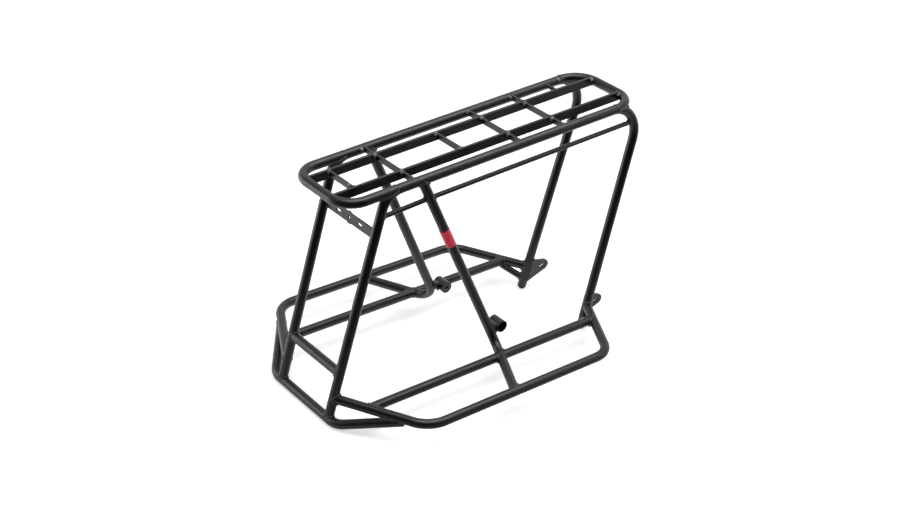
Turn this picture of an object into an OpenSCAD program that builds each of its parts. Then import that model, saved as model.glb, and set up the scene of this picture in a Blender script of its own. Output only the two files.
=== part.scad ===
// Rear rack for a bicycle: two bent side hoops carry a narrow top deck, and
// low side platforms carry bags beside the wheel. All tubes are welded.
// Millimetres. +X points forward, +Y left, +Z up, and the floor is z = 0.

/* [Tubes] */
// Radius of the main round tubes
tube_r = 8; // [6:0.25:10]
// Radius of the bag rods under the top rails
rod_r = 4; // [3:0.25:5]
// Radius of the struts from the platforms down to the feet
strut_r = 6; // [4:0.25:7]
// How much thicker the tube is around a bend, from the bending
bend_swell = 0.05; // [0.03:0.01:0.2]
// Room left between two welded pieces, filled by the weld
weld_gap = 0.05; // [0.02:0.01:0.2]

/* [Deck] */
// Deck length, from the rear loop's axis to the front loop's axis
deck_len = 590; // [540:5:640]
// Height of the deck tubes' axes above the floor, halfway along the deck
deck_h = 398; // [370:1:430]
// Rise of the deck toward the front, in degrees
deck_tilt = 3.1; // [1:0.1:5]
// Distance from the middle plane to each top rail's axis at its rear end
rail_rear_y = 68.5; // [65:0.5:72]
// Distance from the middle plane to each top rail's axis at its front end
rail_front_y = 70; // [66:0.5:75]
// Bend radius of the rear loop's corners
rear_loop_bend = 37.5; // [30:0.5:45]
// Bend radius of the front loop's corners
front_loop_bend = 43; // [36:0.5:44]
// Length of the rear loop's arms, from its rear axis to their ends
rear_arm = 93; // [90:0.5:96]
// Length of the front loop's arms, from its front axis to their ends
front_arm = 45; // [44.5:0.5:48]

/* [Side hoops] */
// Distance from the rear loop's axis forward to the rear leg's corner
rear_leg_set = 75.5; // [70:0.5:84]
// Distance from the front loop's axis forward to the front leg's corner
front_leg_set = 18.5; // [14:0.5:22]
// Rearward lean of the rear legs on their way down, in degrees
rear_lean = 14.1; // [10:0.1:18]
// Inward lean of the rear legs on their way down, in degrees
rear_tuck = 0.4; // [0:0.1:1.5]
// Rearward lean of the front legs on their way down, in degrees
front_lean = 13.4; // [10:0.1:17]
// Outward lean of the front legs on their way down, in degrees
front_splay = 1.5; // [0.5:0.1:2.5]
// Bend radius between each top rail and its rear leg
hoop_rear_bend = 36; // [32:0.5:42]
// Bend radius between each top rail and its front leg
hoop_front_bend = 53; // [50:0.5:56]

/* [Middle legs] */
// Distance from the rear loop's axis forward to the middle leg's top
mid_set = 142.5; // [130:0.5:155]
// Forward lean of the middle legs on their way down, in degrees
mid_lean = 25.7; // [22:0.1:29]
// Outward lean of the middle legs on their way down, in degrees
mid_splay = 2; // [1:0.1:3]
// Bend radius at the foot of each middle leg
mid_bend = 34; // [20:0.5:36]
// Angle of the cross tube below each middle leg, in degrees off square
cross_angle = 26.8; // [18:0.1:32]

/* [Side platforms] */
// Height of the platform tubes' axes above the floor
platform_h = 44; // [38:0.5:52]
// Distance from the middle plane to each inner platform rail
inner_y = 120; // [114:1:132]
// Distance from the middle plane to each outer platform rail
outer_y = 211.5; // [200:0.5:230]
// Angle of the outer rail's rear end, in degrees off square
outer_rear_angle = 28.7; // [24:0.1:34]
// Angle of the outer rail's front end, in degrees off square
outer_front_angle = 28.7; // [24:0.1:34]
// Bend radius of the outer rail's rear corner
outer_rear_bend = 50; // [40:1:60]
// Bend radius of the outer rail's front corner
outer_front_bend = 45; // [35:1:55]

/* [Ground bar and braces] */
// Height of the rear cross tube's axis above the floor
cross_tube_h = 87; // [75:0.5:110]
// Distance from the middle plane to each corner of the ground bar
ground_corner_y = 86; // [80:0.5:92]
// Bend radius of the ground bar's corners
ground_bend = 40; // [25:1:50]
// Distance from the middle plane to where each ground bar arm ends
ground_arm_y = 172; // [160:1:180]
// Drop of the ground bar arm's end below the outer rail's axis
ground_arm_drop = 5; // [3:0.5:6]
// Height above the floor at which the strut meets the front leg
strut_h = 20; // [16:0.5:23]
// Distance from the inner rail's front end back to the strut's upper end
strut_set = 6; // [2:0.5:10]
// Drop of the strut's upper end below the platform tubes' axes
strut_drop = 7; // [5:0.5:9]

/* [Deck bars] */
// Thickness of the two long deck bars, which stand on edge
long_bar_t = 5; // [3:0.1:6]
// Height of the two long deck bars
long_bar_h = 15; // [13:0.5:17]
// Height of the long bars' upper edge above the deck tubes' axes
long_bar_top = 7.4; // [7:0.1:8]
// Thickness of the deck's cross bars, which stand on edge
cross_bar_t = 4; // [3:0.1:5]
// Height of the deck's cross bars
cross_bar_h = 9; // [8:0.5:11]
// Height of the cross bars' upper edge above the deck tubes' axes
cross_bar_top = 6.8; // [4:0.1:7]
// Distance from the middle plane to each long bar's middle
long_bar_y = 34.2; // [30:0.1:38]
// Distance of cross bar a from the rear loop's axis
bar_a_set = 41; // [30:0.5:50]
// Distance of cross bar b from the rear loop's axis
bar_b_set = 129; // [115:0.5:135]
// Distance of cross bar c from the rear loop's axis
bar_c_set = 248.5; // [235:0.5:260]
// Distance of cross bar d from the rear loop's axis
bar_d_set = 339.5; // [325:0.5:350]
// Distance of cross bar e from the rear loop's axis
bar_e_set = 432.5; // [420:0.5:445]
// Distance of the short stub from the front loop's axis
stub_set = 78; // [70:0.5:90]
// Radius of the short stub
stub_r = 3.5; // [2.5:0.25:4]

/* [Bag rods] */
// Drop of the bag rods below the top rail's axis at the rear leg
rod_drop_rear = 39; // [34:0.5:44]
// Drop of the bag rods below the top rail's axis at the middle leg
rod_drop_mid = 35.5; // [30:0.5:40]
// Drop of the bag rods below the top rail's axis at the front leg
rod_drop_front = 34; // [28:0.5:40]

/* [Axle bosses] */
// Outer radius of the axle bosses
boss_r = 10.5; // [10:0.25:11.5]
// Length of the axle bosses
boss_len = 25; // [24:0.5:30]
// Radius of the bore in the outer end of each boss
boss_bore_r = 8.75; // [8:0.05:9.25]
// Depth of the bore in each boss
boss_bore_len = 21; // [16:0.5:22]
// Radius of the small hole through the inner end of each boss
boss_hole_r = 2.75; // [2:0.05:3.5]
// Height of the boss axis above the floor
boss_h = 74.5; // [70:0.5:90]
// Gap between boss and leg, bridged by a web
boss_web = 1.5; // [1:0.25:4]
// Height of that web, along the leg
boss_web_h = 12; // [8:0.5:14]
// How far the boss's outer end stands in from the leg's outer side
boss_inset = 0.5; // [0:0.25:2]

/* [Front tabs] */
// Thickness of the slotted plates on the front legs
tab_t = 5; // [3.5:0.25:6]
// Distance of the slot's centre ahead of the front leg's axis
tab_reach = 27.5; // [26:0.5:33]
// Height of the slot's centre above the floor
tab_h = 41.5; // [40:0.5:46]
// Radius of the tab's rounded nose
tab_nose_r = 10; // [9.5:0.5:12]
// Height above the floor of the tab's root, lower end
tab_root_low = 19; // [17:0.5:24]
// Height above the floor of the tab's root, upper end
tab_root_high = 60; // [56:0.5:66]
// Half the width of the slot
slot_r = 3.25; // [2.75:0.05:3.5]
// Length of the slot, end to end
slot_len = 15; // [12:0.5:18]
// Rise of the slot toward the front, in degrees
slot_tilt = 21; // [0:1:30]

/* [Light bracket] */
// Height of the light bracket's middle above the floor
bracket_h = 318.5; // [300:0.5:340]
// Height of the light bracket's strip
bracket_w = 18; // [14:0.5:20]
// Thickness of the light bracket
bracket_t = 2.5; // [2:0.1:4]
// Radius of the disc in the middle of the bracket
bracket_disc_r = 11; // [10.5:0.25:13]
// Radius of the bracket's middle hole
bracket_hole_r = 3; // [2:0.05:4]
// Distance between the centres of the bracket's two slots
bracket_slot_pitch = 56; // [50:1:64]
// Half the width of the bracket's slots
bracket_slot_r = 2.75; // [2.25:0.05:3.25]
// Length of the bracket's slots, end to end
bracket_slot_len = 12; // [8:0.5:14]

/* [Marking band] */
// Height above the floor of the band's lower end
band_low = 260.5; // [230:0.5:270]
// Height above the floor of the band's upper end
band_high = 292.5; // [280:0.5:300]
// Thickness of the band
band_t = 0.4; // [0.2:0.05:0.8]

/* [Hidden] */
$fn = 96;
cope_r = tube_r + weld_gap;
bend_lap = 0.4;
cut_over = 1;
bar_inner_y = long_bar_y - long_bar_t / 2 - weld_gap;
bar_outer_y = long_bar_y + long_bar_t / 2 + weld_gap;

// Places below are measured from the middle of the deck, on its left side.
rear_x = -deck_len / 2;
front_x = deck_len / 2;
deck_mid = [0, 0, deck_h];
deck_dir = [cos(deck_tilt), 0, sin(deck_tilt)];
deck_up = [-sin(deck_tilt), 0, cos(deck_tilt)];
// The ground bar's bends are its thickest places, and rest on the floor
ground_h = tube_r + bend_swell;
rear_down = unit([-tan(rear_lean), -tan(rear_tuck), -1]);
front_down = unit([-tan(front_lean), tan(front_splay), -1]);
mid_down = unit([tan(mid_lean), tan(mid_splay), -1]);

// The hoop's own corners, and where its legs reach the floor
rear_corner = on_deck(rear_x + rear_leg_set, rail_rear_y, 0);
front_corner = on_deck(front_x + front_leg_set, rail_front_y, 0);
rear_foot = drop_to(rear_corner, rear_down, ground_h);
front_foot = drop_to(front_corner, front_down, tube_r);

// The middle leg's top, corner and outer end
mid_top = on_rail(rear_x + mid_set);
mid_corner = drop_to(mid_top, mid_down, platform_h);
mid_end = out_to(mid_corner, -cross_angle, outer_y);

// The outer platform rail's ends on the legs, and its corners
outer_start = drop_to(rear_corner, rear_down, platform_h);
outer_end = drop_to(front_corner, front_down, platform_h);
outer_rear = out_to(outer_start, outer_rear_angle, outer_y);
outer_front = out_to(outer_end, -outer_front_angle, outer_y);

// Where the inner platform rail meets what carries it
inner_rear = out_to(outer_start, outer_rear_angle, inner_y);
inner_mid = out_to(mid_corner, -cross_angle, inner_y);
inner_front = out_to(outer_end, -outer_front_angle, inner_y);

// The ground bar's corner and arm end
ground_corner = [rear_foot[0], ground_corner_y, ground_h];
arm_over = out_to(outer_start, outer_rear_angle, ground_arm_y);
ground_end = arm_over - [0, 0, ground_arm_drop];

// The bag rod's rear end and its place on the middle leg
rod_rear = below_rail(rear_corner, rear_down, rod_drop_rear);
rod_mid = below_rail(mid_top, mid_down, rod_drop_mid);

// Centre of the hoop's front bend, and the bag rod's front end in that bend
front_centre = bend_centre(rear_corner, front_corner, front_foot,
    hoop_front_bend);
rail_dir = unit(front_corner - rear_corner);
rail_down = unit(front_down - rail_dir * (front_down * rail_dir));
rod_front = front_centre - rail_down * (hoop_front_bend - rod_drop_front)
    + rail_dir * sqrt(rod_drop_front * (2 * hoop_front_bend - rod_drop_front));
// The overall length is centred on x = 0
front_normal = bend_normal(rear_corner, front_corner, front_foot);
nose_x = front_centre[0] + bend_swell
    + hoop_front_bend * sqrt(1 - pow(front_normal[0], 2));
loop_x = front_x * cos(deck_tilt);
shift_x = -(rear_foot[0] + max(nose_x, loop_x)) / 2;

function unit(v) = v / norm(v);

// Point in the deck's own frame: along it, across it and above its tubes
function on_deck(x, y, z) = deck_mid + deck_dir * x + [0, y, 0] + deck_up * z;

// Point on the left top rail's axis
function on_rail(x) = let (
    start = rear_x + rear_leg_set,
    part = (x - start) / (front_x + front_leg_set - start)
) on_deck(x, rail_rear_y + (rail_front_y - rail_rear_y) * part, 0);

// Point at height z on the line from p along dir
function drop_to(p, dir, z) = p + dir * (z - p[2]) / dir[2];

// Point at distance y across, on a level line from p swept by an angle
function out_to(p, angle, y) = p + [tan(angle), 1, 0] * (y - p[1]);

// Point on the leg from p along dir, a drop below the top rail's axis
function below_rail(p, dir, drop) = p - dir * drop / (dir * deck_up);

// Half the angle between the ways from corner c to a and to b
function half_angle(a, c, b) = acos(unit(a - c) * unit(b - c)) / 2;

// Point where a bend of radius br at corner c runs out toward b
function run_out(a, c, b, br) = c + unit(b - c) * br / tan(half_angle(a, c, b));

function bend_centre(a, c, b, br) =
    c + unit(unit(a - c) + unit(b - c)) * br / sin(half_angle(a, c, b));

function bend_normal(a, c, b) = unit(cross(a - c, b - c));

// Straight round bar from p to q
module bar(p, q, r) {
    way = q - p;
    translate(p)
        rotate([0, acos(way[2] / norm(way)), atan2(way[1], way[0])])
            cylinder(h = norm(way), r = r);
}

// Bend of radius br at corner c, on the way from a to b
module bend(a, c, b, br, r) {
    mid = bend_centre(a, c, b, br);
    x = unit(run_out(b, c, a, br) - mid);
    y = unit(c - a);
    z = cross(x, y);
    multmatrix([
        [x[0], y[0], z[0], mid[0]],
        [x[1], y[1], z[1], mid[1]],
        [x[2], y[2], z[2], mid[2]],
        [0, 0, 0, 1]
    ])
        rotate_extrude(angle = 180 - 2 * half_angle(a, c, b))
            translate([br, 0])
                circle(r = r + bend_swell);
}

// Round tube along points, with a bend of radius br[i] at points[i + 1].
// Each straight run reaches bend_lap into its bends, inside their swell.
module tube(points, br, r) {
    last = len(points) - 1;
    for (i = [0 : last - 1]) {
        p = points[i];
        q = points[i + 1];
        lap = unit(q - p) * bend_lap;
        start = i == 0 ? p
            : run_out(points[i - 1], p, q, br[i - 1]) - lap;
        end = i == last - 1 ? q
            : run_out(points[i + 2], q, p, br[i]) + lap;
        bar(start, end, r);
    }
    for (i = [1 : last - 1])
        bend(points[i - 1], points[i], points[i + 1], br[i - 1], r);
}

// Moves the finished work onto the centred origin
module placed() {
    translate([shift_x, 0, 0])
        children();
}

// The same, on the right side
module placed_right() {
    placed()
        mirror([0, 1, 0])
            children();
}

// Things drawn in the deck's own frame
module in_deck() {
    translate(deck_mid)
        rotate([0, -deck_tilt, 0])
            children();
}

// Axes of the main tubes, as plain bars that neighbours are coped with
module rail_line(r) bar(rear_corner, front_corner, r);
module rear_leg_line(r) bar(rear_corner, rear_foot, r);
module front_leg_line(r) bar(front_corner, front_foot, r);
module mid_leg_line(r) bar(mid_top, mid_corner, r);
module cross_line(r) bar(mid_corner, mid_end, r);
module outer_line(r) bar(outer_rear, outer_front, r);
module outer_rear_line(r) bar(outer_start, outer_rear, r);
module outer_front_line(r) bar(outer_end, outer_front, r);
module inner_front_line(r) bar(inner_mid, inner_front, r);

// The hoop's two bends with the tube around them
module rear_shoulder(r) {
    bend(rear_foot, rear_corner, front_corner, hoop_rear_bend, r);
}

module front_shoulder(r) {
    bend(rear_corner, front_corner, front_foot, hoop_front_bend, r);
}

// The straight part of the top rail, up to the front bend
module rail_run(r) {
    bar(rear_corner,
        run_out(front_foot, front_corner, rear_corner, hoop_front_bend), r);
}

module side_hoop() {
    color("dimgray")
        difference() {
            tube([rear_foot, rear_corner, front_corner, front_foot],
                [hoop_rear_bend, hoop_front_bend], tube_r);
            bar([rear_foot[0], 0, ground_h], ground_corner, cope_r);
        }
}

module deck_loop(x, y, arm, br) {
    in_deck()
        tube([[x + arm, y, 0], [x, y, 0], [x, -y, 0], [x + arm, -y, 0]],
            [br, br], tube_r);
}

module rear_loop() {
    color("slategray")
        placed()
            difference() {
                deck_loop(rear_x, rail_rear_y, rear_arm, rear_loop_bend);
                rear_shoulder(cope_r);
                mirror([0, 1, 0])
                    rear_shoulder(cope_r);
            }
}

module front_loop() {
    color("slategray")
        placed()
            difference() {
                deck_loop(front_x, rail_front_y, -front_arm, front_loop_bend);
                rail_run(cope_r);
                front_shoulder(cope_r);
                mirror([0, 1, 0]) {
                    rail_run(cope_r);
                    front_shoulder(cope_r);
                }
            }
}

// Rear and front axis of the loops at the long bars, for their coped ends
module loop_lines(r) {
    for (x = [rear_x, front_x])
        bar([x, -rail_rear_y, 0], [x, rail_rear_y, 0], r);
}

// Flat bar along the deck, on edge
module long_bar() {
    color("gray")
        in_deck()
            difference() {
                translate([rear_x, long_bar_y - long_bar_t / 2,
                        long_bar_top - long_bar_h])
                    cube([deck_len, long_bar_t, long_bar_h]);
                loop_lines(cope_r);
            }
}

// Piece of a flat bar across the deck, welded in between y = from and y = to
module cross_bar(set, from, to) {
    color("darkgray")
        difference() {
            in_deck()
                translate([rear_x + set - cross_bar_t / 2, from,
                        cross_bar_top - cross_bar_h])
                    cube([cross_bar_t, to - from, cross_bar_h]);
            rail_line(cope_r);
        }
}

module middle_bar(set) cross_bar(set, -bar_inner_y, bar_inner_y);
module side_bar(set)
    cross_bar(set, bar_outer_y, on_rail(rear_x + set)[1] - tube_r / 3);

module mid_leg() {
    color("dimgray")
        difference() {
            tube([mid_top, mid_corner, mid_end], [mid_bend], tube_r);
            rail_line(cope_r);
            outer_line(cope_r);
        }
}

module rear_rod() {
    color("silver")
        difference() {
            bar(rod_rear, rod_mid, rod_r);
            rear_leg_line(cope_r);
            mid_leg_line(cope_r);
        }
}

module front_rod() {
    color("silver")
        difference() {
            bar(rod_mid, rod_front, rod_r);
            mid_leg_line(cope_r);
            front_shoulder(cope_r);
        }
}

module outer_rail() {
    color("gray")
        difference() {
            tube([outer_start, outer_rear, outer_front, outer_end],
                [outer_rear_bend, outer_front_bend], tube_r);
            rear_leg_line(cope_r);
            front_leg_line(cope_r);
        }
}

module inner_rail_rear() {
    color("darkgray")
        difference() {
            bar(inner_rear, inner_mid, tube_r);
            outer_rear_line(cope_r);
            cross_line(cope_r);
        }
}

module inner_rail_front() {
    color("darkgray")
        difference() {
            bar(inner_mid, inner_front, tube_r);
            cross_line(cope_r);
            outer_front_line(cope_r);
        }
}

module axle_boss() {
    lean = cos(mid_lean);
    side = [lean, 0, sin(mid_lean)];
    on_leg = drop_to(mid_top, mid_down,
        boss_h - sin(mid_lean) * (tube_r + boss_web + boss_r));
    mid = on_leg + side * (tube_r + boss_web + boss_r);
    outer = on_leg[1] + tube_r - boss_inset;
    color("steelblue")
        difference() {
            union() {
                translate([mid[0], outer, mid[2]])
                    rotate([90, 0, 0])
                        cylinder(h = boss_len, r = boss_r);
                translate([on_leg[0], on_leg[1] - tube_r / 2, on_leg[2]])
                    rotate([0, -mid_lean, 0])
                        translate([0, 0, -boss_web_h / 2])
                            cube([tube_r + boss_web + boss_r / 2, tube_r,
                                boss_web_h]);
            }
            mid_leg_line(cope_r);
            translate([mid[0], outer + cut_over, mid[2]])
                rotate([90, 0, 0])
                    cylinder(h = boss_bore_len + cut_over, r = boss_bore_r);
            translate([mid[0], outer + cut_over, mid[2]])
                rotate([90, 0, 0])
                    cylinder(h = boss_len + 2 * cut_over, r = boss_hole_r);
        }
}

// Point where a line from p touches a circle, on the side given by s
function touch(p, c, r, s) = let (
    d = norm(c - p),
    a = atan2(p[1] - c[1], p[0] - c[0]) + s * acos(r / d)
) c + r * [cos(a), sin(a)];

module slot_shape(r, length) {
    for (s = [-1, 1])
        translate([s * (length / 2 - r), 0])
            circle(r = r);
    square([length - 2 * r, 2 * r], center = true);
}

// Slotted plate in the XZ plane, flat against the front leg's inner side
module front_tab() {
    on_leg = drop_to(front_corner, front_down, tab_h);
    low = drop_to(front_corner, front_down, tab_root_low);
    high = drop_to(front_corner, front_down, tab_root_high);
    centre = [on_leg[0] + tab_reach, tab_h];
    nose = centre + [cos(slot_tilt), sin(slot_tilt)] * (slot_len / 2 - slot_r);
    root_low = [low[0], low[2]];
    root_high = [high[0], high[2]];
    color("steelblue")
        difference() {
            translate([0, on_leg[1] - tube_r + tab_t / 2, 0])
                rotate([90, 0, 0])
                    linear_extrude(height = tab_t)
                        difference() {
                            union() {
                                polygon([
                                    root_low, touch(root_low, nose, tab_nose_r, 1),
                                    nose, touch(root_high, nose, tab_nose_r, -1),
                                    root_high
                                ]);
                                translate(nose)
                                    circle(r = tab_nose_r);
                            }
                            translate(centre)
                                rotate(slot_tilt)
                                    slot_shape(slot_r, slot_len);
                        }
            front_leg_line(cope_r);
        }
}

module strut() {
    color("gray")
        difference() {
            bar(inner_front - [strut_set, 0, strut_drop],
                drop_to(front_corner, front_down, strut_h), strut_r);
            inner_front_line(cope_r);
            outer_front_line(cope_r);
            front_leg_line(cope_r);
        }
}

// Rounded end of the front leg, which stands on the floor
module foot_cap() {
    way = -front_down;
    color("black")
        translate(front_foot)
            rotate([0, acos(way[2]), atan2(way[1], way[0])])
                difference() {
                    sphere(r = tube_r);
                    translate([-tube_r, -tube_r, -weld_gap])
                        cube(2 * tube_r);
                }
}

module rear_cross_tube() {
    left = drop_to(rear_corner, rear_down, cross_tube_h);
    color("gray")
        placed()
            difference() {
                bar([left[0], -left[1], left[2]], left, tube_r);
                rear_leg_line(cope_r);
                mirror([0, 1, 0])
                    rear_leg_line(cope_r);
            }
}

module ground_bar() {
    flip = [1, -1, 1];
    color("gray")
        placed()
            difference() {
                tube([
                    [for (i = [0 : 2]) ground_end[i] * flip[i]],
                    [for (i = [0 : 2]) ground_corner[i] * flip[i]],
                    ground_corner, ground_end
                ], [ground_bend, ground_bend], tube_r);
                outer_rear_line(cope_r);
                mirror([0, 1, 0])
                    outer_rear_line(cope_r);
            }
}

module light_bracket() {
    at = drop_to(rear_corner, rear_down, bracket_h);
    color("steelblue")
        placed()
            difference() {
                translate([at[0] + bracket_t / 2, 0, bracket_h])
                    rotate([90, 0, -90])
                        linear_extrude(height = bracket_t)
                            difference() {
                                union() {
                                    square([2 * at[1], bracket_w], center = true);
                                    circle(r = bracket_disc_r);
                                }
                                circle(r = bracket_hole_r);
                                for (s = [-1, 1])
                                    translate([s * bracket_slot_pitch / 2, 0])
                                        slot_shape(bracket_slot_r,
                                            bracket_slot_len);
                            }
                rear_leg_line(cope_r);
                mirror([0, 1, 0])
                    rear_leg_line(cope_r);
            }
}

// Short round bar between the left rail and the left long bar only
module rail_stub() {
    x = front_x - stub_set;
    color("silver")
        placed()
            difference() {
                in_deck()
                    bar([x, bar_outer_y, 0],
                        [x, rail_rear_y, 0], stub_r);
                rail_line(cope_r);
            }
}

// Plain band around the right middle leg
module marking_band() {
    low = drop_to(mid_top, mid_down, band_low);
    high = drop_to(mid_top, mid_down, band_high);
    color("crimson")
        placed_right()
            difference() {
                bar(low, high, cope_r + band_t);
                mid_leg_line(cope_r);
            }
}

module left_side_hoop() placed() side_hoop();
module right_side_hoop() placed_right() side_hoop();
module left_long_bar() placed() long_bar();
module right_long_bar() placed_right() long_bar();
module cross_bar_a() placed() middle_bar(bar_a_set);
module cross_bar_b_left() placed() side_bar(bar_b_set);
module cross_bar_b_middle() placed() middle_bar(bar_b_set);
module cross_bar_b_right() placed_right() side_bar(bar_b_set);
module cross_bar_c() placed() middle_bar(bar_c_set);
module cross_bar_d_left() placed() side_bar(bar_d_set);
module cross_bar_d_middle() placed() middle_bar(bar_d_set);
module cross_bar_d_right() placed_right() side_bar(bar_d_set);
module cross_bar_e_left() placed() side_bar(bar_e_set);
module cross_bar_e_middle() placed() middle_bar(bar_e_set);
module cross_bar_e_right() placed_right() side_bar(bar_e_set);
module left_mid_leg() placed() mid_leg();
module right_mid_leg() placed_right() mid_leg();
module right_rear_rod() placed_right() rear_rod();
module right_front_rod() placed_right() front_rod();
module left_outer_rail() placed() outer_rail();
module right_outer_rail() placed_right() outer_rail();
module left_inner_rail_rear() placed() inner_rail_rear();
module right_inner_rail_rear() placed_right() inner_rail_rear();
module left_inner_rail_front() placed() inner_rail_front();
module right_inner_rail_front() placed_right() inner_rail_front();
module left_axle_boss() placed() axle_boss();
module right_axle_boss() placed_right() axle_boss();
module left_front_tab() placed() front_tab();
module right_front_tab() placed_right() front_tab();
module left_strut() placed() strut();
module right_strut() placed_right() strut();
module left_foot_cap() placed() foot_cap();
module right_foot_cap() placed_right() foot_cap();

left_side_hoop();
right_side_hoop();
rear_loop();
front_loop();
left_long_bar();
right_long_bar();
cross_bar_a();
cross_bar_b_left();
cross_bar_b_middle();
cross_bar_b_right();
cross_bar_c();
cross_bar_d_left();
cross_bar_d_middle();
cross_bar_d_right();
cross_bar_e_left();
cross_bar_e_middle();
cross_bar_e_right();
rail_stub();
left_mid_leg();
right_mid_leg();
right_rear_rod();
right_front_rod();
left_outer_rail();
right_outer_rail();
left_inner_rail_rear();
right_inner_rail_rear();
left_inner_rail_front();
right_inner_rail_front();
rear_cross_tube();
ground_bar();
light_bracket();
left_axle_boss();
right_axle_boss();
left_front_tab();
right_front_tab();
left_strut();
right_strut();
left_foot_cap();
right_foot_cap();
marking_band();
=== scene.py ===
"""Rear rack: finish, weld beads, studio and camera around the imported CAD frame.

Lengths are in metres, in the frame of the CAD: +X forward, +Y to the left side, +Z up, floor at z = 0.
The photograph looks at the right side (-Y) from behind and above.
"""

import math

import bpy
import bmesh
import numpy as np
from mathutils import Matrix, Vector
from mathutils.bvhtree import BVHTree


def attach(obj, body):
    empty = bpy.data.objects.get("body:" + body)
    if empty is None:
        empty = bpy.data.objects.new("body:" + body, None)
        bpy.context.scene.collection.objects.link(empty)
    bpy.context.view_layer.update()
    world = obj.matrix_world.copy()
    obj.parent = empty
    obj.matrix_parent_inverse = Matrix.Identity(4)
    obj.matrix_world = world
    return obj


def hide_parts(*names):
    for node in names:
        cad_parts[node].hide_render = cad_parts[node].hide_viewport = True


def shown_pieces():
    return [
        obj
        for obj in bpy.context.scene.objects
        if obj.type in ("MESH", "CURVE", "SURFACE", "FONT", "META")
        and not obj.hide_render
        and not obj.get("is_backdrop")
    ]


MM = 0.001
SEED = 7
rng = np.random.default_rng(SEED)

# ---------------------------------------------------------------- image points, 900 x 506 frame

IMAGE_W, IMAGE_H = 900, 506
LONG_SIDE = max(IMAGE_W, IMAGE_H)
POINTS = {
    "left_edge": (272.7, None),
    "right_edge": (637.2, None),
    "top_edge": (None, 71.6),
    "bottom_edge": (None, 430.4),
    "right_front_seam": (620.2, 106.0),
    "left_front_seam": (565.0, 79.1),
    "right_rear_seam": (391.5, 190.5),
    "left_rear_seam": (338.5, 158.2),
    "bar_b_crossing": (375.0, 155.0),
    "bar_e_crossing": (551.8, 118.4),
    "rail_stub": (549.6, 87.7),
    "right_front_rod_end": (629.0, 124.0),
    "bracket_hole": (349.3, 217.5),
    "marking_band": (448.0, 236.7),
    "right_boss": (501.5, 326.5),
    "left_boss": (446.7, 286.7),
    "right_tab_slot": (594.9, 297.9),
    "left_tab_slot": (542.1, 264.6),
}
# The rounded lumps of weld that stand proud on top of the deck's joints
DABS = {
    "a_left": (329.0, 171.3), "a_right": (348.9, 185.8),
    "b_left": (375.0, 155.0), "b_right": (401.8, 171.7),
    "c_left": (435.6, 133.7), "c_right": (459.4, 148.3),
    "d_left": (481.9, 118.0), "d_right": (508.0, 134.0),
    "e_left": (524.4, 103.4), "e_right": (551.8, 118.4),
    "b_rail": (361.8, 149.0), "d_rail": (467.5, 112.0), "e_rail": (510.5, 97.0),
    "loop": (558.6, 79.5),
    "front_left": (591.7, 79.3), "front_right": (618.6, 94.3),
}

# ---------------------------------------------------------------- camera

# Angles in degrees, lens and sensor in millimetres
CAMERA_PLACE = Vector((-1.5053, -1.7546, 1.5099))
CAMERA_AZIMUTH = -40.229
CAMERA_ELEVATION = 29.871
CAMERA_ROLL = 3.779
LENS = 64.07
SENSOR = 36.0
CLIP_START, CLIP_END = 0.05, 60


def camera_axes():
    """Right, up and back of the camera in the row frame."""
    az, el, roll = (math.radians(a) for a in (CAMERA_AZIMUTH, CAMERA_ELEVATION, CAMERA_ROLL))
    back = Vector((math.sin(az) * math.cos(el), -math.cos(az) * math.cos(el), math.sin(el)))
    level_right = Vector((0, 0, 1)).cross(back).normalized()
    level_up = back.cross(level_right)
    right = math.cos(roll) * level_right + math.sin(roll) * level_up
    return right, back.cross(right), back


def make_camera():
    data = bpy.data.cameras.new("camera")
    data.sensor_fit = "AUTO"
    data.sensor_width = SENSOR
    data.lens = LENS
    data.clip_start, data.clip_end = CLIP_START, CLIP_END
    camera = bpy.data.objects.new("camera", data)
    bpy.context.scene.collection.objects.link(camera)
    right, up, back = camera_axes()
    rows = [[right[i], up[i], back[i], CAMERA_PLACE[i]] for i in range(3)]
    camera.matrix_world = Matrix(rows + [[0, 0, 0, 1]])
    bpy.context.scene.camera = camera


def image_ray(x, y):
    """Direction from the camera through an image point."""
    data = bpy.context.scene.camera.data
    right, up, back = camera_axes()
    across = x - IMAGE_W / 2 + data.shift_x * LONG_SIDE
    upward = IMAGE_H / 2 - y + data.shift_y * LONG_SIDE
    away = -LONG_SIDE * data.lens / data.sensor_width
    return (across * right + upward * up + away * back).normalized()


def image_place(p):
    """Image point at which a place in the row frame shows."""
    data = bpy.context.scene.camera.data
    right, up, back = camera_axes()
    d = Vector(p) - CAMERA_PLACE
    scale = -LONG_SIDE * data.lens / data.sensor_width / d.dot(back)
    x = IMAGE_W / 2 - data.shift_x * LONG_SIDE + scale * d.dot(right)
    y = IMAGE_H / 2 + data.shift_y * LONG_SIDE - scale * d.dot(up)
    return x, y


# ---------------------------------------------------------------- meshes of the frame

# Vertices closer than this are one
JOIN_DISTANCE = 0.002 * MM
# A rim lies this close to the main piece, and its edges bend by more than this angle
RIM_REACH = 0.35 * MM
RIM_SEARCH = 4 * RIM_REACH
RIM_ANGLE = math.radians(20)
RIM_LEAST_POINTS = 4
LINE_LEAST_POINTS = 8
LINE_EASINGS = 3

solids = {}


def clean_mesh(node):
    """A node's mesh with the vertices that its sharp edges split joined again."""
    bm = bmesh.new()
    bm.from_mesh(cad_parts[node].data)
    bmesh.ops.remove_doubles(bm, verts=bm.verts, dist=JOIN_DISTANCE)
    bm.normal_update()
    return bm


def solid(node):
    """(bmesh, tree) of a node, made once."""
    if node not in solids:
        bm = clean_mesh(node)
        solids[node] = (bm, BVHTree.FromBMesh(bm))
    return solids[node]


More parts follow.
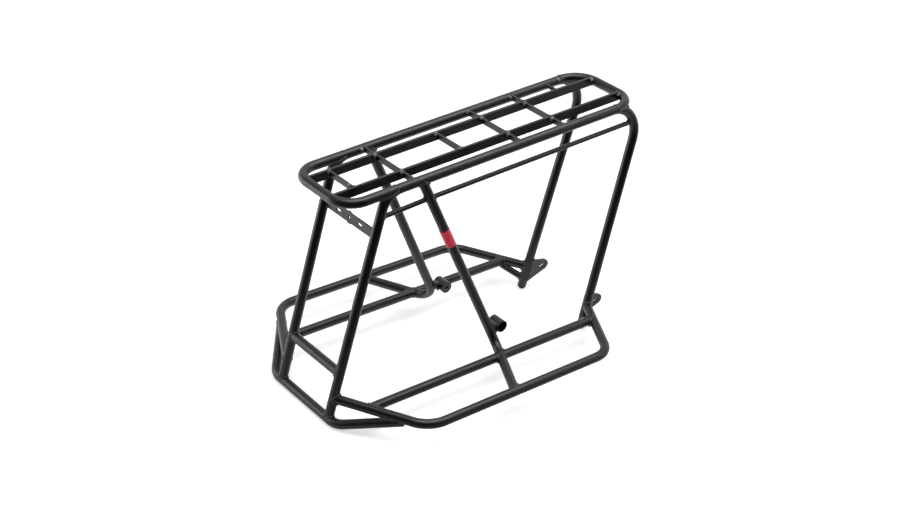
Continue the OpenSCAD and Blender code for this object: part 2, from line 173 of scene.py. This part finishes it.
def near_verts(bm, tree):
    """Indexes of the vertices that lie against the tree's surface."""
    near = set()
    for v in bm.verts:
        place, _, _, distance = tree.find_nearest(v.co, RIM_SEARCH)
        if place is not None and distance < RIM_REACH:
            near.add(v.index)
    return near


def walk(links, start, seen):
    """Indexes in order along the linked edges, as far as they run from a start."""
    line, here = [start], start
    seen.add(start)
    while True:
        onward = [n for n in links[here] if n not in seen]
        if not onward:
            return line
        here = onward[0]
        seen.add(here)
        line.append(here)


def rim_lines(branch, main):
    """(points, closed) of each line of the branch's sharp edges that lies against the main piece."""
    bm = solid(branch)[0]
    near = near_verts(bm, solid(main)[1])
    links = {}
    for e in bm.edges:
        a, b = (v.index for v in e.verts)
        if a in near and b in near and len(e.link_faces) == 2 and e.calc_face_angle() > RIM_ANGLE:
            links.setdefault(a, []).append(b)
            links.setdefault(b, []).append(a)
    lines, seen = [], set()
    bm.verts.ensure_lookup_table()
    for start in sorted(links):
        if start in seen:
            continue
        line = walk(links, start, seen)
        if len(line) >= RIM_LEAST_POINTS:
            closed = start in links[line[-1]]
            lines.append(([bm.verts[i].co.copy() for i in line], closed))
    return lines


def even_line(points, closed, step):
    """The line with its points a step apart, its corners eased."""
    p = np.array([tuple(v) for v in points])
    if closed:
        p = np.vstack([p, p[:1]])
    along = np.r_[0, np.cumsum(np.linalg.norm(np.diff(p, axis=0), axis=1))]
    count = max(LINE_LEAST_POINTS, int(along[-1] / step))
    at = np.linspace(0, along[-1], count, endpoint=not closed)
    q = np.column_stack([np.interp(at, along, p[:, k]) for k in range(3)])
    for _ in range(LINE_EASINGS):
        if closed:
            q = (np.roll(q, 1, 0) + 2 * q + np.roll(q, -1, 0)) / 4
        else:
            q[1:-1] = (q[:-2] + 2 * q[1:-1] + q[2:]) / 4
    return q


# ---------------------------------------------------------------- weld beads

# Radius of the bead at tubes, at rods and at flat bars
TUBE_BEAD = 2.3 * MM
ROD_BEAD = 1.7 * MM
FLAT_BEAD = 1.3 * MM
BEAD_STEP = 0.55 * MM
BEAD_SIDES = 10
FLOOR_CLEARANCE = 0.05 * MM
# Ripples that the torch leaves, and the slower wander of the bead's size, as shares of its radius
RIPPLE_PITCH = 2.3 * MM
RIPPLE_DEPTH = 0.09
RIPPLE_MIDDLE = 0.6
WANDER = 0.06
WANDER_POINTS = 9
# An open bead's end ring is this far into its rounded end, as a share of the radius
END_START = 0.15
# Any direction that no tube runs along
HELPER = np.array([0.31, 0.57, 0.76])
# Shares of the radius by which a bead is raised in a corner, or sunk where one surface runs into the other
CORNER_LIFT = 0.3
SEAM_SINK = 0.45

MIDDLE_BARS = ["cross_bar_a", "cross_bar_b_middle", "cross_bar_c", "cross_bar_d_middle",
               "cross_bar_e_middle"]


def bead_sizes(n, closed, radius):
    """Radius of a bead at each of its n points: rippled, and rounded off at the ends of an open one."""
    phase = np.arange(n) / n * max(2, round(n * BEAD_STEP / RIPPLE_PITCH))
    knots = np.r_[rng.normal(0, WANDER, WANDER_POINTS - 1), 0]
    wander = np.interp(np.arange(n), np.linspace(0, n, WANDER_POINTS), knots)
    ripple = RIPPLE_DEPTH * (np.abs(np.sin(math.pi * phase)) - RIPPLE_MIDDLE)
    size = radius * (1 + ripple + wander)
    if not closed:
        from_end = np.minimum(np.arange(n), np.arange(n)[::-1]) * BEAD_STEP / radius
        size *= np.sqrt(np.clip(1 - (1 - np.clip(from_end, END_START, 1)) ** 2, 0, 1))
    return size


def bead_mesh(bm, line, closed, radius):
    """Adds a welded bead along a line."""
    n = len(line)
    ahead = np.roll(line, -1, 0) - np.roll(line, 1, 0)
    if not closed:
        ahead[0], ahead[-1] = line[1] - line[0], line[-1] - line[-2]
    ahead /= np.linalg.norm(ahead, axis=1)[:, None]
    side = np.cross(ahead, HELPER)
    side /= np.linalg.norm(side, axis=1)[:, None]
    lift = np.cross(ahead, side)
    size = bead_sizes(n, closed, radius)
    rings = []
    for i in range(n):
        ring = []
        for k in range(BEAD_SIDES):
            a = 2 * math.pi * k / BEAD_SIDES
            p = line[i] + size[i] * (math.cos(a) * side[i] + math.sin(a) * lift[i])
            p[2] = max(p[2], FLOOR_CLEARANCE)
            ring.append(bm.verts.new(p))
        rings.append(ring)
    for i in range(n if closed else n - 1):
        a, b = rings[i], rings[(i + 1) % n]
        for k in range(BEAD_SIDES):
            m = (k + 1) % BEAD_SIDES
            bm.faces.new((a[k], a[m], b[m], b[k]))
    if not closed:
        bm.faces.new(rings[0][::-1])
        bm.faces.new(rings[-1])


def seated(line, branch, main, radius):
    """The bead's middle line: raised into the corner between two surfaces, or sunk where they run on."""
    branch_tree, main_tree = solid(branch)[1], solid(main)[1]
    out = []
    for p in line:
        p = Vector(p)
        main_normal = main_tree.find_nearest(p)[1]
        wall_normal = branch_tree.find_nearest(p + main_normal * radius)[1]
        spread = max(0.0, main_normal.dot(wall_normal))
        raise_by = radius * (CORNER_LIFT - (CORNER_LIFT + SEAM_SINK) * spread)
        out.append(p + (main_normal + wall_normal).normalized() * raise_by)
    return np.array([tuple(p) for p in out])


def add_piece(name, bm, material):
    """The bmesh as an object that rides on the rack and takes the frame's finish."""
    mesh = bpy.data.meshes.new(name)
    bm.to_mesh(mesh)
    bm.free()
    mesh.materials.append(material)
    piece = bpy.data.objects.new(name, mesh)
    bpy.context.scene.collection.objects.link(piece)
    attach(piece, "root")
    return piece


def add_weld(name, bm, material):
    """The bmesh as a smooth piece of weld."""
    bmesh.ops.recalc_face_normals(bm, faces=bm.faces)
    for f in bm.faces:
        f.smooth = True
    add_piece(name, bm, material)


def weld(name, joints, radius):
    """One piece with the beads of several (branch, main) joints."""
    bm = bmesh.new()
    for branch, main in joints:
        for points, closed in rim_lines(branch, main):
            line = even_line(points, closed, BEAD_STEP)
            bead_mesh(bm, seated(line, branch, main, radius), closed, radius)
    add_weld(name, bm, materials["weld"])


def weld_side(s):
    """The beads of the left or right side, a piece for each group of joints."""
    hoop, leg, outer = s + "_side_hoop", s + "_mid_leg", s + "_outer_rail"
    rear, front, strut = s + "_inner_rail_rear", s + "_inner_rail_front", s + "_strut"
    weld(s + "_rear_seam_bead", [("rear_loop", hoop)], TUBE_BEAD)
    weld(s + "_front_seam_bead", [("front_loop", hoop)], TUBE_BEAD)
    weld(s + "_leg_beads", [(leg, hoop), (leg, outer)], TUBE_BEAD)
    weld(s + "_platform_beads", [(outer, hoop), (rear, outer), (rear, leg),
                                 (front, leg), (front, outer)], TUBE_BEAD)
    weld(s + "_strut_beads", [(strut, front), (strut, hoop)], ROD_BEAD)
    weld(s + "_boss_bead", [(s + "_axle_boss", leg)], TUBE_BEAD)
    weld(s + "_tab_bead", [(s + "_front_tab", hoop)], ROD_BEAD)
    weld(s + "_tail_beads", [("rear_cross_tube", hoop), ("ground_bar", outer),
                             (hoop, "ground_bar")], TUBE_BEAD)
    weld(s + "_bracket_bead", [("light_bracket", hoop)], FLAT_BEAD)
    long_bar = s + "_long_bar"
    outer_bars = ["cross_bar_%s_%s" % (c, s) for c in "bde"]
    bar_ends = [(long_bar, "rear_loop"), (long_bar, "front_loop")] + [(bar, hoop) for bar in outer_bars]
    weld(s + "_bar_end_beads", bar_ends, FLAT_BEAD)
    weld(s + "_crossing_beads", [(bar, long_bar) for bar in MIDDLE_BARS + outer_bars], FLAT_BEAD)


def weld_frame():
    """The beads at every joint between tubes, rods and plates."""
    weld_side("left")
    weld_side("right")
    weld("stub_beads", [("rail_stub", "left_side_hoop"), ("rail_stub", "left_long_bar")], FLAT_BEAD)
    rear, front, leg, hoop = "right_rear_rod", "right_front_rod", "right_mid_leg", "right_side_hoop"
    weld("rod_beads", [(rear, hoop), (rear, leg), (front, leg), (front, hoop)], ROD_BEAD)


# ---------------------------------------------------------------- weld lumps

DAB_RADIUS = 4.3 * MM
DAB_HEIGHT = 2.2 * MM
DAB_DETAIL = 3
# Width across as a share of the length
DAB_WIDTH = 0.85
# How far a lump turns from its surface's normal towards straight up
DAB_UPRIGHT = 0.5
# Depth of the unevenness, and its waves over the lump
DAB_UNEVEN = 0.05
DAB_WAVES = (5, 3)


def rack_tree():
    """(points, tree) of everything of the rack that can show."""
    points, faces = [], []
    depsgraph = bpy.context.evaluated_depsgraph_get()
    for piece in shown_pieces():
        mesh = piece.evaluated_get(depsgraph).data
        first = len(points)
        points += [piece.matrix_world @ v.co for v in mesh.vertices]
        faces += [[first + i for i in p.vertices] for p in mesh.polygons]
    return points, BVHTree.FromPolygons(points, faces)


def weld_dabs():
    """A low rounded lump where the ray through each of its image points meets the rack."""
    tree = rack_tree()[1]
    for name, (x, y) in DABS.items():
        place, normal, _, _ = tree.ray_cast(CAMERA_PLACE, image_ray(x, y))
        if place is None:
            print("no weld lump: the ray misses the rack at", name)
            continue
        bm = bmesh.new()
        bmesh.ops.create_icosphere(bm, subdivisions=DAB_DETAIL, radius=1)
        turn = normal.lerp(Vector((0, 0, 1)), DAB_UPRIGHT).to_track_quat("Z", "X")
        for v in bm.verts:
            wave = DAB_WAVES[0] * v.co.x + DAB_WAVES[1] * v.co.y + len(name) + x
            uneven = 1 + DAB_UNEVEN * math.sin(wave)
            lump = Vector((v.co.x * DAB_RADIUS, v.co.y * DAB_RADIUS * DAB_WIDTH, v.co.z * DAB_HEIGHT))
            v.co = place + turn @ (lump * uneven)
        add_weld("weld_dab_" + name, bm, materials["dab"])


# ---------------------------------------------------------------- materials

COAT_DARK = (0.004, 0.004, 0.0045, 1)
COAT_LIGHT = (0.007, 0.007, 0.0075, 1)
COAT_SCUFF = (0.05, 0.05, 0.052, 1)
# The beads are coloured lighter than the coat that covers them: a painted highlight that makes them stand
# out
WELD_PAINTED_HIGHLIGHT_DARK = (0.016, 0.016, 0.0165, 1)
WELD_PAINTED_HIGHLIGHT_LIGHT = (0.028, 0.028, 0.029, 1)
# The lumps are coloured far lighter than the coat that covers them: a painted highlight for their rounded
# tops
DAB_PAINTED_HIGHLIGHT_DARK = (0.085, 0.085, 0.086, 1)
DAB_PAINTED_HIGHLIGHT_LIGHT = (0.13, 0.13, 0.132, 1)
RUBBER_BLACK = (0.012, 0.012, 0.012, 1)
RUBBER_DUST = (0.06, 0.058, 0.054, 1)
INK_DARK = (0.62, 0.022, 0.055, 1)
INK_LIGHT = (0.74, 0.030, 0.074, 1)
INK_RUBBED = (0.80, 0.09, 0.13, 1)
# Heights above the floor over which scuffs and dust fade out
SCUFF_FULL, SCUFF_TOP = 0.2 * MM, 2.2 * MM
DUST_TOP = 6 * MM
# The colour sockets of Blender's Mix node
MIX_A, MIX_B, MIX_RESULT = 6, 7, 2


class Graph:
    """Short calls for the nodes of one material, or of the world."""

    def __init__(self, owner, output="ShaderNodeOutputMaterial", coordinates="Object"):
        self.owner = owner
        owner.use_nodes = True
        self.tree = owner.node_tree
        self.tree.nodes.clear()
        self.out = self.add(output)
        self.place = self.add("ShaderNodeTexCoord").outputs[coordinates]

    def add(self, kind, **values):
        node = self.tree.nodes.new(kind)
        for key, value in values.items():
            setattr(node, key, value)
        return node

    def link(self, source, target):
        """Feeds the target from a socket, or sets it to a number or colour."""
        if isinstance(source, (int, float, tuple)):
            target.default_value = source
        else:
            self.tree.links.new(source, target)

    def noise(self, scale, detail=2.0, roughness=0.5):
        node = self.add("ShaderNodeTexNoise")
        self.link(self.place, node.inputs["Vector"])
        node.inputs["Scale"].default_value = scale
        node.inputs["Detail"].default_value = detail
        node.inputs["Roughness"].default_value = roughness
        return node.outputs["Fac"]

    def cells(self, scale):
        node = self.add("ShaderNodeTexVoronoi")
        self.link(self.place, node.inputs["Vector"])
        node.inputs["Scale"].default_value = scale
        return node.outputs["Distance"]

    def span(self, value, low, high, to_low=0.0, to_high=1.0):
        """value between low and high as a number between to_low and to_high, held at the ends."""
        node = self.add("ShaderNodeMapRange")
        node.interpolation_type = "SMOOTHSTEP"
        for key, v in zip(("Value", "From Min", "From Max", "To Min", "To Max"),
                          (value, low, high, to_low, to_high)):
            self.link(v, node.inputs[key])
        return node.outputs["Result"]

    def math(self, kind, a, b):
        node = self.add("ShaderNodeMath", operation=kind)
        self.link(a, node.inputs[0])
        self.link(b, node.inputs[1])
        return node.outputs[0]

    def along(self, direction):
        """How far the place lies along a direction."""
        node = self.add("ShaderNodeVectorMath", operation="DOT_PRODUCT")
        self.link(self.place, node.inputs[0])
        self.link(direction, node.inputs[1])
        return node.outputs["Value"]

    def mix(self, share, a, b):
        node = self.add("ShaderNodeMix", data_type="RGBA")
        self.link(share, node.inputs[0])
        self.link(a, node.inputs[MIX_A])
        self.link(b, node.inputs[MIX_B])
        return node.outputs[MIX_RESULT]

    def height(self):
        node = self.add("ShaderNodeSeparateXYZ")
        self.link(self.place, node.inputs[0])
        return node.outputs["Z"]

    def bump(self, height, strength, distance, under=None):
        node = self.add("ShaderNodeBump")
        node.inputs["Strength"].default_value = strength
        node.inputs["Distance"].default_value = distance
        self.link(height, node.inputs["Height"])
        if under is not None:
            self.link(under, node.inputs["Normal"])
        return node.outputs["Normal"]

    def surface(self, **inputs):
        """The material, with a Principled surface fed by the named inputs."""
        node = self.add("ShaderNodeBsdfPrincipled")
        for key, value in inputs.items():
            self.link(value, node.inputs[key.replace("_", " ")])
        self.link(node.outputs["BSDF"], self.out.inputs["Surface"])
        return self.owner


def powder_coat(name, peel, rough_low, rough_high, dark=COAT_DARK, light=COAT_LIGHT):
    """Satin black powder coat: soft mottling, orange peel, fine grain and a few specks, with scuffs
    where it stands on the floor."""
    g = Graph(bpy.data.materials.new(name))
    cloud = g.span(g.noise(scale=26, detail=3), 0.35, 0.65)
    colour = g.mix(cloud, dark, light)
    specks = g.span(g.cells(scale=420), 0.035, 0.06, 0.55, 0.0)
    rare = g.span(g.noise(scale=60, detail=1), 0.56, 0.66)
    colour = g.mix(g.math("MULTIPLY", specks, rare), colour, COAT_SCUFF)
    low_down = g.span(g.height(), SCUFF_FULL, SCUFF_TOP, 1.0, 0.0)
    worn = g.span(g.noise(scale=170, detail=4, roughness=0.7), 0.52, 0.62, 0.0, 0.8)
    scuff = g.math("MULTIPLY", low_down, worn)
    colour = g.mix(scuff, colour, COAT_SCUFF)
    rough = g.span(g.noise(scale=90), 0.3, 0.7, rough_low, rough_high)
    rough = g.math("ADD", rough, g.math("MULTIPLY", scuff, 0.25))
    coarse = g.bump(g.noise(scale=520), strength=peel, distance=0.12 * MM)
    fine = g.bump(g.noise(scale=2600), strength=0.12, distance=0.04 * MM, under=coarse)
    return g.surface(Base_Color=colour, Roughness=rough, Normal=fine)


def rubber(name):
    """Matt black moulded rubber of the foot caps, dusty towards the floor."""
    g = Graph(bpy.data.materials.new(name))
    dust = g.span(g.height(), 0.0, DUST_TOP, 0.5, 0.0)
    patch = g.span(g.noise(scale=220, detail=4, roughness=0.65), 0.4, 0.7)
    colour = g.mix(g.math("MULTIPLY", dust, patch), RUBBER_BLACK, RUBBER_DUST)
    rough = g.span(g.noise(scale=140), 0.3, 0.7, 0.62, 0.8)
    grain = g.bump(g.noise(scale=1400, detail=3), strength=0.35, distance=0.06 * MM)
    return g.surface(Base_Color=colour, Roughness=rough, Normal=grain)


def label_film(name):
    """Crimson printed film of the marking band: slight ink mottling, satin face, faint grain."""
    g = Graph(bpy.data.materials.new(name))
    ink = g.span(g.noise(scale=70, detail=3), 0.35, 0.65)
    colour = g.mix(ink, INK_DARK, INK_LIGHT)
    rub = g.span(g.noise(scale=900, detail=3, roughness=0.7), 0.66, 0.74, 0.0, 0.35)
    colour = g.mix(rub, colour, INK_RUBBED)
    rough = g.span(g.noise(scale=160), 0.3, 0.7, 0.3, 0.42)
    grain = g.bump(g.noise(scale=1800), strength=0.08, distance=0.03 * MM)
    return g.surface(Base_Color=colour, Roughness=rough, Normal=grain)


# ---------------------------------------------------------------- the CAD nodes, finished

# Radius of the long bars' rounded edges, and which edges those are
BAR_EASE = 1.8 * MM
BAR_EASE_STEPS = 4
BAR_EDGE_LENGTH = 20 * MM
BAR_EDGE_ANGLE = math.radians(60)

# The nodes that aren't powder coated
OTHER_FINISH = {"left_foot_cap": "rubber", "right_foot_cap": "rubber", "marking_band": "film"}


def ease_long_bars():
    """The long bars again, with long edges rounded as on rolled flat bar, in place of the CAD ones."""
    for name in ("left_long_bar", "right_long_bar"):
        bm = clean_mesh(name)
        edges = [e for e in bm.edges if e.calc_length() > BAR_EDGE_LENGTH and len(e.link_faces) == 2
                 and e.calc_face_angle() > BAR_EDGE_ANGLE]
        for f in bm.faces:
            f.smooth = False
        eased = bmesh.ops.bevel(bm, geom=edges, offset=BAR_EASE, segments=BAR_EASE_STEPS,
                                profile=0.5, affect="EDGES")
        for f in eased["faces"]:
            f.smooth = True
        piece = add_piece(name + "_eased", bm, materials["coat"])
        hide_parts(name)


def dress_nodes():
    """Each CAD node takes its finish."""
    for name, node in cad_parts.items():
        node.data.materials.clear()
        node.data.materials.append(materials[OTHER_FINISH.get(name, "coat")])


# ---------------------------------------------------------------- studio

FLOOR_HALF = 9.0
FLOOR_COLOUR = (0.8, 0.8, 0.8, 1)
# The camera sees the floor's glow rise from near the rack to far from it
FLOOR_GLOW, FLOOR_GLOW_FAR = 0.56, 1.0
GLOW_RISE_START, GLOW_RISE_END = 1.2, 3.6
# The floor as the rack mirrors it, along a direction towards the photographer's side
DARK_FLOOR = (-0.3, -0.95, 0.0)
FLOOR_FAR, FLOOR_NEAR = 1.4, 0.0
FLOOR_FAR_AT, FLOOR_NEAR_AT = -0.4, 0.7
# The world's light, and the world as the rack mirrors it: its mean and its slope towards the dark side
DARK_SIDE = (-0.65, -0.76, 0.0)
WORLD_LIGHT = 0.32
WORLD_SIDE = 0.5
WORLD_SLOPE = -0.7
# Place, target, size and watts of each lamp
SOFTBOXES = {
    "top_softbox": ((0.3, -0.35, 2.1), (0.3, -0.35, 0), (2.6, 1.5), 45),
    "rear_softbox": ((-0.95, 0.85, 0.4), (0, 0, 0.2), (0.85, 0.75), 4.4),
    "front_softbox": ((1.9, -1.6, 0.9), (0, 0, 0.2), (0.9, 1.2), 5),
}


def floor_material():
    """Pale floor that keeps the rack's shadow and shows white to the camera. Mirrored in the rack it is
    dark towards the photographer's side, as in the photograph."""
    g = Graph(bpy.data.materials.new("studio_floor"))
    path = g.add("ShaderNodeLightPath").outputs
    shade = g.add("ShaderNodeBsdfDiffuse")
    g.link(FLOOR_COLOUR, shade.inputs["Color"])
    away = g.add("ShaderNodeVectorMath", operation="LENGTH")
    g.link(g.place, away.inputs[0])
    rise = g.span(away.outputs["Value"], GLOW_RISE_START, GLOW_RISE_END, FLOOR_GLOW, FLOOR_GLOW_FAR)
    glow = g.add("ShaderNodeEmission")
    g.link(g.math("MULTIPLY", path["Is Camera Ray"], rise), glow.inputs["Strength"])
    seen = g.add("ShaderNodeAddShader")
    g.link(shade.outputs[0], seen.inputs[0])
    g.link(glow.outputs[0], seen.inputs[1])
    mirrored = g.add("ShaderNodeEmission")
    light = g.span(g.along(DARK_FLOOR), FLOOR_FAR_AT, FLOOR_NEAR_AT, FLOOR_FAR, FLOOR_NEAR)
    g.link(light, mirrored.inputs["Strength"])
    pick = g.add("ShaderNodeMixShader")
    g.link(path["Is Glossy Ray"], pick.inputs[0])
    g.link(seen.outputs[0], pick.inputs[1])
    g.link(mirrored.outputs[0], pick.inputs[2])
    g.link(pick.outputs[0], g.out.inputs["Surface"])
    return g.owner


def make_floor():
    bm = bmesh.new()
    corners = [(-1, -1), (1, -1), (1, 1), (-1, 1)]
    bm.faces.new([bm.verts.new((x * FLOOR_HALF, y * FLOOR_HALF, 0)) for x, y in corners])
    mesh = bpy.data.meshes.new("studio_floor")
    bm.to_mesh(mesh)
    bm.free()
    mesh.materials.append(floor_material())
    floor = bpy.data.objects.new("studio_floor", mesh)
    bpy.context.scene.collection.objects.link(floor)
    floor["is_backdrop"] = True


def make_world():
    """White for the camera, even light for the floor, and for the rack's sheen a studio that is dark on
    the photographer's side and bright behind."""
    g = Graph(bpy.data.worlds.new("studio"), "ShaderNodeOutputWorld", "Generated")
    path = g.add("ShaderNodeLightPath").outputs
    sheen = g.math("MULTIPLY", g.along(DARK_SIDE), WORLD_SLOPE)
    sheen = g.math("MAXIMUM", g.math("ADD", sheen, WORLD_SIDE), 0.0)
    sheen = g.math("MULTIPLY", sheen, path["Is Glossy Ray"])
    plain = g.math("SUBTRACT", 1.0, path["Is Glossy Ray"])
    plain = g.math("MULTIPLY", plain, WORLD_LIGHT)
    strength = g.math("ADD", sheen, plain)
    strength = g.math("MAXIMUM", strength, path["Is Camera Ray"])
    glow = g.add("ShaderNodeBackground")
    g.link(strength, glow.inputs["Strength"])
    g.link(glow.outputs[0], g.out.inputs["Surface"])
    bpy.context.scene.world = g.owner


def softbox(name, place, target, size, power):
    data = bpy.data.lights.new(name, "AREA")
    data.shape = "RECTANGLE"
    data.size, data.size_y = size
    data.energy = power
    lamp = bpy.data.objects.new(name, data)
    bpy.context.scene.collection.objects.link(lamp)
    lamp.visible_camera = False
    lamp.location = place
    lamp.rotation_mode = "QUATERNION"
    lamp.rotation_quaternion = (Vector(target) - Vector(place)).to_track_quat("-Z", "Y")


def make_studio():
    make_floor()
    make_world()
    for name, values in SOFTBOXES.items():
        softbox(name, *values)


# ---------------------------------------------------------------- what shows, at the places the image points name

# A place shows if the ray to it stops no further than this before it
SHOW_SLACK = 1.5 * MM
# Piece, middle and radius in millimetres of the features that are a part of a piece
FEATURES = {
    "bar_b_crossing": ("left_crossing_beads", (-158.2, 34, 402), 9),
    "bar_e_crossing": ("right_crossing_beads", (144.9, -34, 418), 9),
    "right_front_rod_end": ("rod_beads", (301.4, -70.9, 379.9), 9),
    "bracket_hole": ("light_bracket", (-228.1, 0, 318.5), 4),
    "right_boss": ("right_axle_boss", (29.7, -87.5, 74.5), 11),
    "left_boss": ("left_axle_boss", (29.7, 62.5, 74.5), 11),
    "right_tab_slot": ("right_front_tab", (259.6, -71.8, 41.5), 9),
    "left_tab_slot": ("left_front_tab", (259.6, 71.8, 41.5), 9),
}


def shows(tree, p):
    """True if nothing hides a place from the camera."""
    away = Vector(p) - CAMERA_PLACE
    place, _, _, distance = tree.ray_cast(CAMERA_PLACE, away.normalized())
    return place is None or distance > away.length - SHOW_SLACK


def shown_middle(tree, places):
    """Middle, in the image, of those places that show."""
    seen = [image_place(p) for p in places if shows(tree, p)]
    if not seen:
        return None
    xs, ys = zip(*seen)
    return (min(xs) + max(xs)) / 2, (min(ys) + max(ys)) / 2


def shown_edge(tree, points, axis, side):
    """Furthest image x (axis 0) or y (axis 1) of the vertices that show, to the side -1 or 1."""
    order = sorted(points, key=lambda p: -side * image_place(p)[axis])
    return next((image_place(p)[axis] for p in order if shows(tree, p)), None)


def verts_of(name):
    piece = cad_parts.get(name) or bpy.data.objects[name]
    return [piece.matrix_world @ v.co for v in piece.data.vertices]


def near_of(name, middle, radius):
    """Vertices of a piece within a radius of a place, both in millimetres."""
    centre = MM * Vector(middle)
    return [p for p in verts_of(name) if (p - centre).length < radius * MM]


def write_points():
    points, tree = rack_tree()
    found = {
        "left_edge": (shown_edge(tree, points, 0, -1), None),
        "right_edge": (shown_edge(tree, points, 0, 1), None),
        "top_edge": (None, shown_edge(tree, points, 1, -1)),
        "bottom_edge": (None, shown_edge(tree, points, 1, 1)),
    }
    for seam in ("right_front", "left_front", "right_rear", "left_rear"):
        found[seam + "_seam"] = shown_middle(tree, verts_of(seam + "_seam_bead"))
    for name in ("marking_band", "rail_stub"):
        found[name] = shown_middle(tree, verts_of(name))
    for name, feature in FEATURES.items():
        found[name] = shown_middle(tree, near_of(*feature))
    for name, (x, y) in POINTS.items():
        shown = found.get(name)
        if shown is None:
            continue


# ---------------------------------------------------------------- the scene

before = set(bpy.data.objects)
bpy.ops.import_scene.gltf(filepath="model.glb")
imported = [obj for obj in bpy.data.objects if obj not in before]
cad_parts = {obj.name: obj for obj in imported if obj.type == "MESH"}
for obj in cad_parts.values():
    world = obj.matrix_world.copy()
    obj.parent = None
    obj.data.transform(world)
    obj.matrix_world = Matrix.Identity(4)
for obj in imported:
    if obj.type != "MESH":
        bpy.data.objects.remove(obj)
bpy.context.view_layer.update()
make_camera()
materials = {
    "coat": powder_coat("satin_powder_coat", peel=0.22, rough_low=0.28, rough_high=0.4),
    "weld": powder_coat("coated_weld_painted_highlight", peel=0.5, rough_low=0.3, rough_high=0.42,
                        dark=WELD_PAINTED_HIGHLIGHT_DARK, light=WELD_PAINTED_HIGHLIGHT_LIGHT),
    "dab": powder_coat("lumpy_weld_painted_highlight", peel=0.5, rough_low=0.34, rough_high=0.46,
                       dark=DAB_PAINTED_HIGHLIGHT_DARK, light=DAB_PAINTED_HIGHLIGHT_LIGHT),
    "rubber": rubber("foot_rubber"),
    "film": label_film("crimson_film"),
}
dress_nodes()
ease_long_bars()
weld_frame()
weld_dabs()
make_studio()
bpy.context.scene.view_settings.view_transform = "Standard"
write_points()
